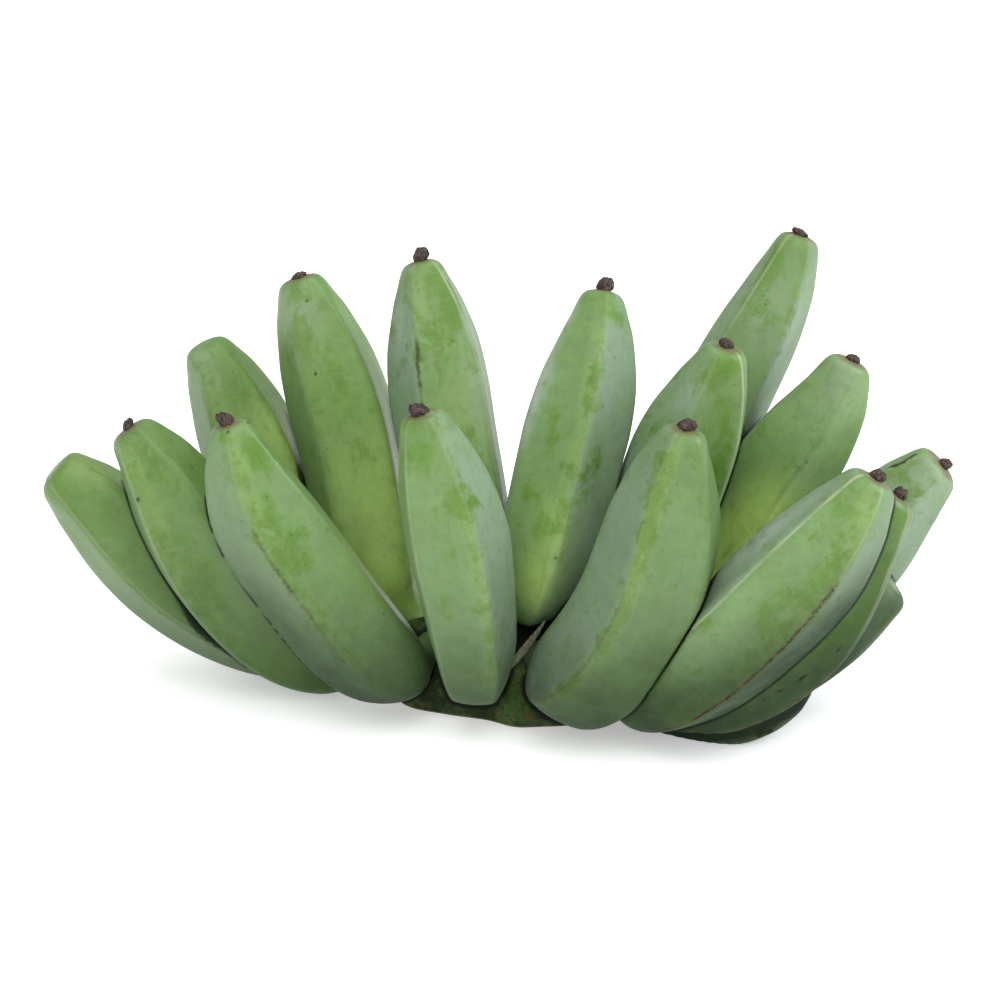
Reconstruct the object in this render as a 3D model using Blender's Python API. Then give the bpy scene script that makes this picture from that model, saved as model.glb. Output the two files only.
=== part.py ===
"""A hand of green cooking bananas: two rows of angular fingers on the stub of stalk that they were cut with.

Sizes below are in millimetres and degrees. The hand rests on the cut face of its crown, at z = 0, centred on
the origin, with its front row towards -Y. Each finger is a row of five-sided rings along a curved spine that
runs from its stalk to its tip, and it is pressed flat where a neighbour or the table touches it.
"""

import math

import bpy
import numpy as np

MM = 0.001
FINGER_SIDES = 20
FINGER_RINGS = 18
FACETS = 5
FACET_SHARPNESS = 15.0
GAP = 0.8
SOCKET_GAP = 0.9
SMALLEST_BEND_SHARE = 0.8

# Half-thickness of a finger from its stalk to its tip, as a share of half its girth.
STATIONS = (0, 0.05, 0.08, 0.11, 0.15, 0.20, 0.27, 0.36, 0.48, 0.60, 0.68, 0.76, 0.84, 0.90, 0.94, 0.97, 0.985, 0.995, 1)
SHARES = (0.30, 0.31, 0.38, 0.53, 0.73, 0.87, 0.95, 0.99, 1, 1, 0.975, 0.915, 0.79, 0.67, 0.57, 0.49, 0.43, 0.34, 0.20)

# name, spine (stalk, heel, belly, shoulder, tip), girth, turn of the facets, heel share, taper of the tip
FINGERS = (
    ("front_1", ((-46, 28, 18), (-74, 30, 17), (-134, 28, 43), (-165, 28, 75), (-182, 28, 91)), 42, 18, 1.00, 0.80),
    ("front_2", ((-40, 16, 20), (-64, 14, 16), (-116, 9, 56), (-138, 6, 98), (-149, 6, 115)), 43, -2, 1.00, 1.00),
    ("front_3", ((-27, 2, 24), (-38, -13, 21), (-74, -24, 60), (-97, -28, 99), (-106, -30, 128)), 43, 27, 1.00, 1.20),
    ("front_4", ((-12, -4, 25), (-10, -26, 22), (-16, -54, 80), (-24, -62, 119), (-30, -64, 142)), 40, -8, 0.80, 1.00),
    ("front_5", ((14, -14, 25), (29, -42, 27), (60, -62, 79), (66, -68, 117), (70, -70, 138)), 47, 10, 0.98, 1.20),
    ("front_6", ((38, -18, 18), (63, -45, 26), (106, -70, 69), (131, -76, 103), (142, -76, 120)), 46, -16, 1.00, 1.00),
    ("front_7", ((44, -12, 17), (77, -34, 21), (118, -49, 49), (142, -52, 89), (154, -52, 105)), 43, 7, 1.00, 1.00),
    ("front_8", ((50, 2, 20), (78, 2, 9), (119, -4, 23), (143, -8, 42), (158, -10, 54)), 38, 0, 1.00, 0.80),
    ("front_9", ((46, -6, 14), (63, -16, 8), (93, -34, 14), (111, -30, 19), (121, -26, 23)), 36, 10, 1.00, 0.80),
    ("back_1", ((-44, 38, 23), (-59, 48, 22), (-96, 52, 74), (-111, 54, 113), (-122, 54, 137)), 42, 10, 1.00, 1.00),
    ("back_2", ((-26, 24, 24), (-35, 28, 27), (-61, 40, 94), (-73, 44, 139), (-82, 46, 167)), 42, 10, 1.00, 1.00),
    ("back_3", ((-12, 20, 36), (-11, 14, 41), (-21, 24, 109), (-28, 28, 157), (-32, 30, 178)), 41, 16, 0.95, 1.15),
    ("back_4", ((8, 10, 36), (10, 0, 41), (28, -4, 112), (38, 2, 155), (41, 6, 172)), 42, -26, 0.95, 1.15),
    ("back_5", ((24, 0, 38), (45, 4, 47), (72, -6, 102), (83, -10, 133), (89, -12, 154)), 42, 12, 1.00, 1.10),
    ("back_6", ((22, 18, 38), (52, 30, 53), (94, 38, 124), (114, 42, 164), (122, 44, 185)), 36, -12, 1.00, 0.90),
    ("back_7", ((38, 8, 34), (74, 18, 40), (113, 16, 94), (132, 14, 123), (141, 14, 141)), 42, 39, 1.00, 1.00),
    ("back_8", ((44, 6, 30), (78, 16, 21), (141, 12, 57), (162, 10, 84), (178, 8, 99)), 41, 42, 1.00, 0.80),
)

# Dried flower remains: finger, half-width, length, and how far the lump leans to the side.
DRIED_TIPS = (
    ("front_2", 2.6, 4.0, 0.3),
    ("front_3", 3.4, 5.5, -0.3),
    ("front_4", 3.8, 5.0, -0.2),
    ("front_5", 3.6, 4.5, 0.2),
    ("front_6", 3.2, 4.5, 0.1),
    ("front_7", 3.0, 4.5, -0.1),
    ("back_2", 3.4, 2.6, 0.1),
    ("back_3", 3.3, 6.2, 0.2),
    ("back_4", 3.3, 6.2, 0.1),
    ("back_5", 3.0, 3.6, -0.2),
    ("back_6", 3.4, 3.2, -0.3),
    ("back_7", 3.0, 3.2, 0.1),
    ("back_8", 2.6, 4.5, 0.2),
)
TIP_SIDES = 8
TIP_GAP = 0.3
TIP_PROFILE = ((0.00, 0.72), (0.18, 0.96), (0.45, 1.00), (0.74, 0.80), (0.93, 0.52))

# The crown: its outline at its widest, then height, share of that outline and shift of each ring.
CROWN_OUTLINE = (
    (-52, 38), (-50, 18), (-41, -6), (-24, -16), (-6, -23), (6, -31), (17, -31), (34, -28),
    (50, -16), (56, 2), (52, 18), (36, 24), (14, 28), (-10, 34), (-30, 43), (-44, 44),
)
CROWN_LEVELS = ((0, 0.93, 0, 0), (5, 1.00, 0, 0), (14, 1.00, 0, 1), (23, 0.91, 1, 2), (31, 0.70, 7, 4), (38, 0.46, 6, 6))
CROWN_TOP = (2, 14, 41)
CROWN_SIDES = 32
CROWN_LUMPS = 0.03
SOCKET_REACH = 0.34
SOCKET_SIDES = 10
SOCKET_RINGS = 12

SKIN = (0.29, 0.42, 0.20)
DRIED = (0.07, 0.05, 0.045)
RIND = (0.13, 0.20, 0.07)


def clear_scene():
    """Removes every object that the file starts with."""
    for item in list(bpy.data.objects):
        bpy.data.objects.remove(item, do_unlink=True)


def new_collection(name):
    """Makes a collection in the scene."""
    collection = bpy.data.collections.new(name)
    bpy.context.scene.collection.children.link(collection)
    return collection


def new_material(name, colour, roughness):
    """Makes a plain material."""
    material = bpy.data.materials.new(name)
    material.use_nodes = True
    shader = material.node_tree.nodes["Principled BSDF"]
    shader.inputs["Base Color"].default_value = (*colour, 1.0)
    shader.inputs["Roughness"].default_value = roughness
    shader.inputs["Metallic"].default_value = 0.0
    material.diffuse_color = (*colour, 1.0)
    return material


def spline_points(points, count):
    """Points spaced evenly along the natural cubic spline through the given ones, and its length."""
    points = np.asarray(points, float)
    knots = np.concatenate([[0.0], np.cumsum(np.linalg.norm(np.diff(points, axis=0), axis=1))])
    step = np.diff(knots)
    slope = np.diff(points, axis=0) / step[:, None]
    matrix = np.eye(len(points))
    right = np.zeros_like(points)
    for i in range(1, len(points) - 1):
        matrix[i, i - 1 : i + 2] = step[i - 1], 2 * (step[i - 1] + step[i]), step[i]
        right[i] = 6 * (slope[i] - slope[i - 1])
    bend = np.linalg.solve(matrix, right)

    def at(place):
        i = np.clip(np.searchsorted(knots, place, side="right") - 1, 0, len(step) - 1)
        size = step[i][:, None]
        ahead = (knots[i + 1] - place)[:, None]
        behind = (place - knots[i])[:, None]
        cubic = (bend[i] * ahead**3 + bend[i + 1] * behind**3) / (6 * size)
        first = (points[i] / size - bend[i] * size / 6) * ahead
        return cubic + first + (points[i + 1] / size - bend[i + 1] * size / 6) * behind

    place = np.linspace(0, knots[-1], 240)
    run = np.linalg.norm(np.diff(at(place), axis=0), axis=1)
    run = np.concatenate([[0.0], np.cumsum(run)])
    return at(np.interp(np.linspace(0, run[-1], count), run, place)), run[-1]


def spine_frames(points):
    """Directions along, towards the front and across at each point of a spine, with no twist between them."""
    along = np.gradient(points, axis=0)
    along /= np.linalg.norm(along, axis=1)[:, None]
    middle = len(points) // 2
    front = np.zeros_like(points)
    start = np.array([0.0, -1.0, 0.0])
    front[middle] = start - along[middle] * (start @ along[middle])
    front[middle] /= np.linalg.norm(front[middle])
    for i in list(range(middle + 1, len(points))) + list(range(middle - 1, -1, -1)):
        last = front[i - 1 if i > middle else i + 1]
        front[i] = last - along[i] * (last @ along[i])
        front[i] /= np.linalg.norm(front[i])
    return along, front, np.cross(along, front)


def smooth_curve(x, knots, values):
    """A curve through the values that never overshoots them."""
    knots = np.asarray(knots, float)
    values = np.asarray(values, float)
    step = np.diff(knots)
    slope = np.diff(values) / step
    tangent = np.zeros(len(knots))
    tangent[0] = slope[0]
    tangent[-1] = slope[-1]
    for i in range(1, len(knots) - 1):
        if slope[i - 1] * slope[i] > 0:
            before = 2 * step[i] + step[i - 1]
            after = step[i] + 2 * step[i - 1]
            tangent[i] = (before + after) / (before / slope[i - 1] + after / slope[i])
    i = np.clip(np.searchsorted(knots, x, side="right") - 1, 0, len(step) - 1)
    t = (x - knots[i]) / step[i]
    ends = (1 + 2 * t) * (1 - t) ** 2 * values[i] + t * t * (3 - 2 * t) * values[i + 1]
    return ends + step[i] * (t * (1 - t) ** 2 * tangent[i] + t * t * (t - 1) * tangent[i + 1])


def facet_shape(angle):
    """Distance from the middle to the side of a soft five-sided section, about 1."""
    total = np.zeros_like(angle)
    for k in range(FACETS):
        total += np.maximum(0, np.cos(angle - 2 * math.pi * k / FACETS)) ** FACET_SHARPNESS
    return total ** (-1 / FACET_SHARPNESS) / 1.09


class Finger:
    """One banana: a spine, its thickness along it, and the balls that its neighbours are kept away from."""

    def __init__(self, name, spine, girth, turn, heel_share, taper):
        self.name = name
        self.spine = spine
        self.half = girth / 2
        self.turn = math.radians(turn)
        self.heel_share = heel_share
        self.taper = taper
        self.balls, self.length = spline_points(spine, 44)
        self.ball_sizes = self.thickness(np.linspace(0, 1, 44))

    def thickness(self, place):
        share = smooth_curve(place, STATIONS, SHARES)
        share = share ** np.where(place > 0.5, self.taper, 1.0)
        heel = 1 + (self.heel_share - 1) * np.clip((0.62 - place) / 0.4, 0, 1)
        return share * heel * self.half

    def depth(self, points):
        """How far each point is outside the finger, and below 0 how far inside."""
        away = np.sqrt(((points[:, None, :] - self.balls[None]) ** 2).sum(2))
        return (away - self.ball_sizes[None]).min(1)

    def near(self, other):
        away = np.linalg.norm(self.balls[:, None] - other.balls[None], axis=2)
        return (away - self.ball_sizes[:, None] - other.ball_sizes[None]).min() < 2.0

    def rings(self, places, sides, extra=0.0):
        """Middles, directions out and distances of the points of each ring, before anything presses on them."""
        fine, length = spline_points(self.spine, 201)
        along, front, across = spine_frames(fine)
        bend = np.gradient(along, axis=0) / (length / 200)
        spot = np.clip(places * 200, 0, 200)
        low = np.minimum(spot.astype(int), 199)
        part = (spot - low)[:, None]

        def at(values):
            return values[low] * (1 - part) + values[low + 1] * part

        angle = np.linspace(0, 2 * math.pi, sides, endpoint=False)
        soft = np.clip(places / 0.3, 0, 1) * np.clip((1 - places) / 0.10, 0.15, 1)
        turned = angle + self.turn
        out = np.cos(turned)[None, :, None] * at(front)[:, None, :]
        out = out + np.sin(turned)[None, :, None] * at(across)[:, None, :]
        reach = self.thickness(places)[:, None] * (1 + (facet_shape(angle)[None, :] - 1) * soft[:, None])
        inside = np.maximum((at(bend)[:, None, :] * out).sum(2), 1e-6)
        reach = np.minimum(reach, SMALLEST_BEND_SHARE / inside) + extra
        middle = np.repeat(at(fine)[:, None, :], sides, 1)
        return middle, out, reach, at(along)


def ring_places(count):
    """Places of the rings from 0 to 1, closer together at both ends."""
    even = np.linspace(0, 1, count)
    return 0.5 * even + 0.25 * (1 - np.cos(math.pi * even))


def pressed(finger, others, middle, out, reach):
    """Draws each point in until it is clear of the table and of every finger that touches this one."""
    middle = middle.reshape(-1, 3)
    out = out.reshape(-1, 3)
    reach = reach.reshape(-1)

    def clear(distance, chosen):
        points = middle[chosen] + out[chosen] * distance[chosen, None]
        room = np.full(len(points), 1e9)
        for other in others:
            room = np.minimum(room, other.depth(points))
        return (finger.depth(points) + GAP <= room) & (points[:, 2] >= 0)

    bad = ~clear(reach, np.ones(len(reach), bool))
    low = np.where(bad, 0.0, reach)
    high = reach.copy()
    for _ in range(12):
        half = (low + high) / 2
        good = np.zeros(len(reach), bool)
        good[bad] = clear(half, bad)
        low = np.where(bad & good, half, low)
        high = np.where(bad & ~good, half, high)
    return middle + out * low[:, None]


def loft_mesh(name, rings):
    """A closed mesh through rings of points in millimetres, with a point in the middle of each end."""
    count, sides = rings.shape[:2]
    points = list(rings.reshape(-1, 3) * MM)
    faces = []
    for i in range(count - 1):
        for j in range(sides):
            after = (j + 1) % sides
            faces.append((i * sides + j, i * sides + after, (i + 1) * sides + after, (i + 1) * sides + j))
    for ring, turned in ((0, True), (count - 1, False)):
        points.append(rings[ring].mean(axis=0) * MM)
        for j in range(sides):
            pair = (ring * sides + j, ring * sides + (j + 1) % sides)
            faces.append((pair[1], pair[0], len(points) - 1) if turned else (*pair, len(points) - 1))
    mesh = bpy.data.meshes.new(name)
    mesh.from_pydata([tuple(point) for point in points], [], faces)
    mesh.update()
    return mesh


def add_object(name, mesh, collection, material):
    """Puts a mesh in the scene as a named object with its material."""
    item = bpy.data.objects.new(name, mesh)
    collection.objects.link(item)
    if material is not None:
        mesh.materials.append(material)
        mesh.shade_smooth()
        mesh.set_sharp_from_angle(angle=math.radians(50))
    return item


def make_finger(finger, fingers, collection, material):
    """Builds one finger, pressed flat by its neighbours."""
    others = [other for other in fingers if other is not finger and finger.near(other)]
    middle, out, reach, _ = finger.rings(ring_places(FINGER_RINGS), FINGER_SIDES)
    points = pressed(finger, others, middle, out, reach)
    rings = points.reshape(FINGER_RINGS, FINGER_SIDES, 3)
    return add_object("finger_" + finger.name, loft_mesh("finger_" + finger.name, rings), collection, material)


def make_dried_tip(finger, half_width, length, lean, collection, material):
    """Builds the dried remains of the flower on the end of a finger."""
    points, _ = spline_points(finger.spine, 201)
    along, front, across = spine_frames(points)
    start = points[-1] + along[-1] * TIP_GAP
    angle = np.linspace(0, 2 * math.pi, TIP_SIDES, endpoint=False)
    rings = []
    for k, (height, share) in enumerate(TIP_PROFILE):
        middle = start + along[-1] * height * length + across[-1] * lean * height * half_width * 2
        wobble = half_width * share * (1 + 0.10 * np.sin(2 * angle + 1.7 * k))
        out = np.cos(angle)[:, None] * front[-1] + np.sin(angle)[:, None] * across[-1]
        rings.append(middle + out * wobble[:, None])
    name = "dried_tip_" + finger.name
    return add_object(name, loft_mesh(name, np.array(rings)), collection, material)


def crown_outline(sides):
    """Points round the crown's outline, smoothly through the chosen ones."""
    chosen = np.array(CROWN_OUTLINE, float)
    count = len(chosen)
    spot = np.arange(sides) * count / sides
    i = spot.astype(int)
    t = (spot - i)[:, None]
    before, here, after, later = (chosen[(i + k) % count] for k in (-1, 0, 1, 2))
    bend = 2 * before - 5 * here + 4 * after - later
    return here + 0.5 * t * (after - before + t * (bend + t * (3 * (here - after) + later - before)))


def make_socket(finger, collection):
    """A slightly thicker copy of a finger's stalk and heel, which cuts its place out of the crown."""
    places = np.linspace(0, SOCKET_REACH, SOCKET_RINGS)
    middle, out, reach, along = finger.rings(places, SOCKET_SIDES, SOCKET_GAP)
    middle[0] -= along[0] * SOCKET_GAP
    mesh = loft_mesh("socket_" + finger.name, middle + out * reach[:, :, None])
    item = add_object("socket_" + finger.name, mesh, collection, None)
    item.hide_render = True
    item.display_type = "WIRE"
    return item


def make_crown(fingers, collection, helpers, material):
    """Builds the stub of stalk, cut flat below, with a socket for each finger's stalk."""
    outline = crown_outline(CROWN_SIDES)
    centre = outline.mean(axis=0)
    rings = []
    for height, share, shift_x, shift_y in CROWN_LEVELS:
        away = outline - centre
        angle = np.arctan2(away[:, 1], away[:, 0])
        lumps = 1 + CROWN_LUMPS * np.sin(5 * angle + height / 4) * (height > 0)
        flat = centre + away * share * lumps[:, None] + (shift_x, shift_y)
        rings.append(np.column_stack([flat, np.full(CROWN_SIDES, float(height))]))
    mesh = loft_mesh("crown", np.array(rings))
    mesh.vertices[-1].co = np.array(CROWN_TOP) * MM
    crown = add_object("crown", mesh, collection, material)
    for finger in fingers:
        cut = crown.modifiers.new("socket_" + finger.name, "BOOLEAN")
        cut.operation = "DIFFERENCE"
        cut.solver = "MANIFOLD"
        cut.object = make_socket(finger, helpers)
    return crown


def main():
    clear_scene()
    hand = new_collection("banana_hand")
    helpers = new_collection("sockets")
    skin = new_material("banana_skin", SKIN, 0.45)
    dried = new_material("dried_flower", DRIED, 0.85)
    rind = new_material("crown_rind", RIND, 0.6)
    fingers = [Finger(*row) for row in FINGERS]
    for finger in fingers:
        make_finger(finger, fingers, hand, skin)
    for name, half_width, length, lean in DRIED_TIPS:
        finger = next(finger for finger in fingers if finger.name == name)
        make_dried_tip(finger, half_width, length, lean, hand, dried)
    make_crown(fingers, hand, helpers, rind)


if __name__ == "__main__":
    main()
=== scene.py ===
"""The looks of a hand of green cooking bananas: waxy ridged skins, dried flower remains and a scarred crown.

Sizes are in millimetres in the tables and metres in Blender. Each finger has the spine and thickness of the
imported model's finger, with more points, the flats where its neighbours press on it, and a skin of its own.
"""

import math

import bpy
import numpy as np
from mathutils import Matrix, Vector, kdtree, noise


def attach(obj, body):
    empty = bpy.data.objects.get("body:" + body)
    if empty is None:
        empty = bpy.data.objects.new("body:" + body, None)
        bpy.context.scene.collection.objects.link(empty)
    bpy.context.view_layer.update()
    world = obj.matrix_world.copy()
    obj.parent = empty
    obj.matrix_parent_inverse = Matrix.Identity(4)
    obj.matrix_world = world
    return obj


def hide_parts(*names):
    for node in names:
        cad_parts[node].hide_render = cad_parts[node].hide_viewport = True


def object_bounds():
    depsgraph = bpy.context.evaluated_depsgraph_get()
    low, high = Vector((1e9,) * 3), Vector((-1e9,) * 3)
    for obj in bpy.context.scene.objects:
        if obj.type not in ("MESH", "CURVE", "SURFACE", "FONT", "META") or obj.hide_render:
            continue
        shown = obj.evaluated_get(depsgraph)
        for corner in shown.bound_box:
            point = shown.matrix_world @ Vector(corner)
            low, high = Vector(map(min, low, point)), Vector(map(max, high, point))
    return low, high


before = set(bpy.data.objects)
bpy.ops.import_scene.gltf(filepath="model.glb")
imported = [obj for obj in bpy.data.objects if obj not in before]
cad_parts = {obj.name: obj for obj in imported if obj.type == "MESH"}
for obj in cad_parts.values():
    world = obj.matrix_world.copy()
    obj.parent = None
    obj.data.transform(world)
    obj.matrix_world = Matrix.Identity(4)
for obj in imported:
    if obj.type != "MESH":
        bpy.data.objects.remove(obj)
CAD_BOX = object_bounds()

MM = 0.001
SIDES = 100
RINGS = 120
FACETS = 5
FACET_SHARPNESS = 15.0
FACET_SCALE = 1.09
BALLS = 44
SPINE_STEPS = 200
SPLINE_STEPS = 240
GAP = 0.36
SOCKET_GAP = 0.5
SMALLEST_BEND_SHARE = 0.8
NEIGHBOUR_REACH = 4.0
PRESS_SOFTNESS = 0.3
PRESS_HALVINGS = 13
CREASE_REACH = 3.0
# Painted crease shade starts this far in mm before a neighbour presses on the skin
CREASE_SHADE = 1.5

# Thickness along a finger: place from the stalk to the tip, and share of the girth
STATIONS = (
    0, 0.05, 0.08, 0.11, 0.15, 0.20, 0.27, 0.36, 0.48, 0.60,
    0.68, 0.76, 0.84, 0.90, 0.94, 0.97, 0.985, 0.995, 1,
)
SHARES = (
    0.30, 0.31, 0.38, 0.53, 0.73, 0.87, 0.95, 0.99, 1, 1,
    0.975, 0.915, 0.79, 0.67, 0.57, 0.49, 0.43, 0.34, 0.20,
)

# name, spine (stalk, heel, belly, shoulder, tip), girth, turn of the facets, heel share, taper of the tip
FINGERS = (
    ("front_1", ((-46, 28, 18), (-74, 30, 17), (-134, 28, 43), (-165, 28, 75), (-182, 28, 91)),
     42, 18, 1.00, 0.80),
    ("front_2", ((-40, 16, 20), (-64, 14, 16), (-116, 9, 56), (-138, 6, 98), (-149, 6, 115)),
     43, -2, 1.00, 1.00),
    ("front_3", ((-27, 2, 24), (-38, -13, 21), (-74, -24, 60), (-97, -28, 99), (-106, -30, 128)),
     43, 27, 1.00, 1.20),
    ("front_4", ((-12, -4, 25), (-10, -26, 22), (-16, -54, 80), (-24, -62, 119), (-30, -64, 142)),
     40, -8, 0.80, 1.00),
    ("front_5", ((14, -14, 25), (29, -42, 27), (60, -62, 79), (66, -68, 117), (70, -70, 138)),
     47, 10, 0.98, 1.20),
    ("front_6", ((38, -18, 18), (63, -45, 26), (106, -70, 69), (131, -76, 103), (142, -76, 120)),
     46, -16, 1.00, 1.00),
    ("front_7", ((44, -12, 17), (77, -34, 21), (118, -49, 49), (142, -52, 89), (154, -52, 105)),
     43, 7, 1.00, 1.00),
    ("front_8", ((50, 2, 20), (78, 2, 9), (119, -4, 23), (143, -8, 42), (158, -10, 54)),
     38, 0, 1.00, 0.80),
    ("front_9", ((46, -6, 14), (63, -16, 8), (93, -34, 14), (111, -30, 19), (121, -26, 23)),
     36, 10, 1.00, 0.80),
    ("back_1", ((-44, 38, 23), (-59, 48, 22), (-96, 52, 74), (-111, 54, 113), (-122, 54, 137)),
     42, 10, 1.00, 1.00),
    ("back_2", ((-26, 24, 24), (-35, 28, 27), (-61, 40, 94), (-73, 44, 139), (-82, 46, 167)),
     42, 10, 1.00, 1.00),
    ("back_3", ((-12, 20, 36), (-11, 14, 41), (-21, 24, 109), (-28, 28, 157), (-32, 30, 178)),
     41, 16, 0.95, 1.15),
    ("back_4", ((8, 10, 36), (10, 0, 41), (28, -4, 112), (38, 2, 155), (41, 6, 172)),
     42, -26, 0.95, 1.15),
    ("back_5", ((24, 0, 38), (45, 4, 47), (72, -6, 102), (83, -10, 133), (89, -12, 154)),
     42, 12, 1.00, 1.10),
    ("back_6", ((22, 18, 38), (52, 30, 53), (94, 38, 124), (114, 42, 164), (122, 44, 185)),
     36, -12, 1.00, 0.90),
    ("back_7", ((38, 8, 34), (74, 18, 40), (113, 16, 94), (132, 14, 123), (141, 14, 141)),
     42, 39, 1.00, 1.00),
    ("back_8", ((44, 6, 30), (78, 16, 21), (141, 12, 57), (162, 10, 84), (178, 8, 99)),
     41, 42, 1.00, 0.80),
)

# finger, half-width, length and sideways lean of what is left of its flower
DRIED_TIPS = (
    ("front_2", 2.6, 4.0, 0.3),
    ("front_3", 3.4, 5.5, -0.3),
    ("front_4", 3.8, 5.0, -0.2),
    ("front_5", 3.6, 4.5, 0.2),
    ("front_6", 3.2, 4.5, 0.1),
    ("front_7", 3.0, 4.5, -0.1),
    ("back_2", 3.4, 2.6, 0.1),
    ("back_3", 3.3, 6.2, 0.2),
    ("back_4", 3.3, 6.2, 0.1),
    ("back_5", 3.0, 3.6, -0.2),
    ("back_6", 3.4, 3.2, -0.3),
    ("back_7", 3.0, 3.2, 0.1),
    ("back_8", 2.6, 4.5, 0.2),
)
TIP_SIDES = 40
TIP_RINGS = 26
TIP_GAP = -0.4
TIP_SHARE = 0.93
TIP_PROFILE = ((0.00, 0.72), (0.18, 0.96), (0.45, 1.00), (0.74, 0.80), (0.93, 0.52))

# The crown: its outline, then height, share of the outline and shift to the right and back at each level
CROWN_OUTLINE = (
    (-52, 38), (-50, 18), (-41, -6), (-24, -16), (-6, -23), (6, -31), (17, -31), (34, -28),
    (50, -16), (56, 2), (52, 18), (36, 24), (14, 28), (-10, 34), (-30, 43), (-44, 44),
)
CROWN_LEVELS = (
    (0, 0.93, 0, 0), (5, 1.00, 0, 0), (14, 1.00, 0, 1),
    (23, 0.91, 1, 2), (31, 0.70, 7, 4), (38, 0.46, 6, 6),
)
CROWN_TOP = (2, 14, 41)
CROWN_SIDES = 160
CROWN_RINGS = 44
CROWN_LUMPS = 0.03
CROWN_KNOBS = 2.2
CROWN_KNOB_SCALE = 0.075
CROWN_CREASE = 50
SOCKET_REACH = 0.34
SOCKET_SIDES = 40
SOCKET_RINGS = 30

# How much wax each facet carries: front, front right, back right, back left, front left
WAX = {
    "front_1": (0.05, 0.03, 0.40, 0.40, 0.15),
    "front_2": (0.10, 0.06, 0.40, 0.40, 0.38),
    "front_3": (0.30, 0.20, 0.40, 0.40, 0.62),
    "front_4": (0.35, 1.00, 0.60, 0.40, 0.40),
    "front_5": (0.28, 0.15, 0.60, 0.60, 0.95),
    "front_6": (0.35, 0.85, 0.60, 0.40, 1.00),
    "front_7": (0.10, 0.50, 0.60, 0.50, 0.25),
    "front_8": (0.85, 0.80, 0.60, 0.60, 0.70),
    "front_9": (0.80, 0.70, 0.50, 0.50, 0.40),
    "back_1": (0.06, 0.05, 0.40, 0.40, 0.30),
    "back_2": (0.10, 0.08, 0.40, 0.40, 0.30),
    "back_3": (0.35, 1.00, 0.60, 0.40, 1.00),
    "back_4": (0.30, 1.00, 0.70, 0.60, 1.00),
    "back_5": (0.30, 0.40, 0.60, 0.60, 0.70),
    "back_6": (0.25, 1.00, 0.90, 0.50, 0.60),
    "back_7": (0.30, 0.40, 0.50, 0.50, 0.25),
    "back_8": (1.00, 1.00, 0.60, 0.60, 0.80),
}
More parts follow.
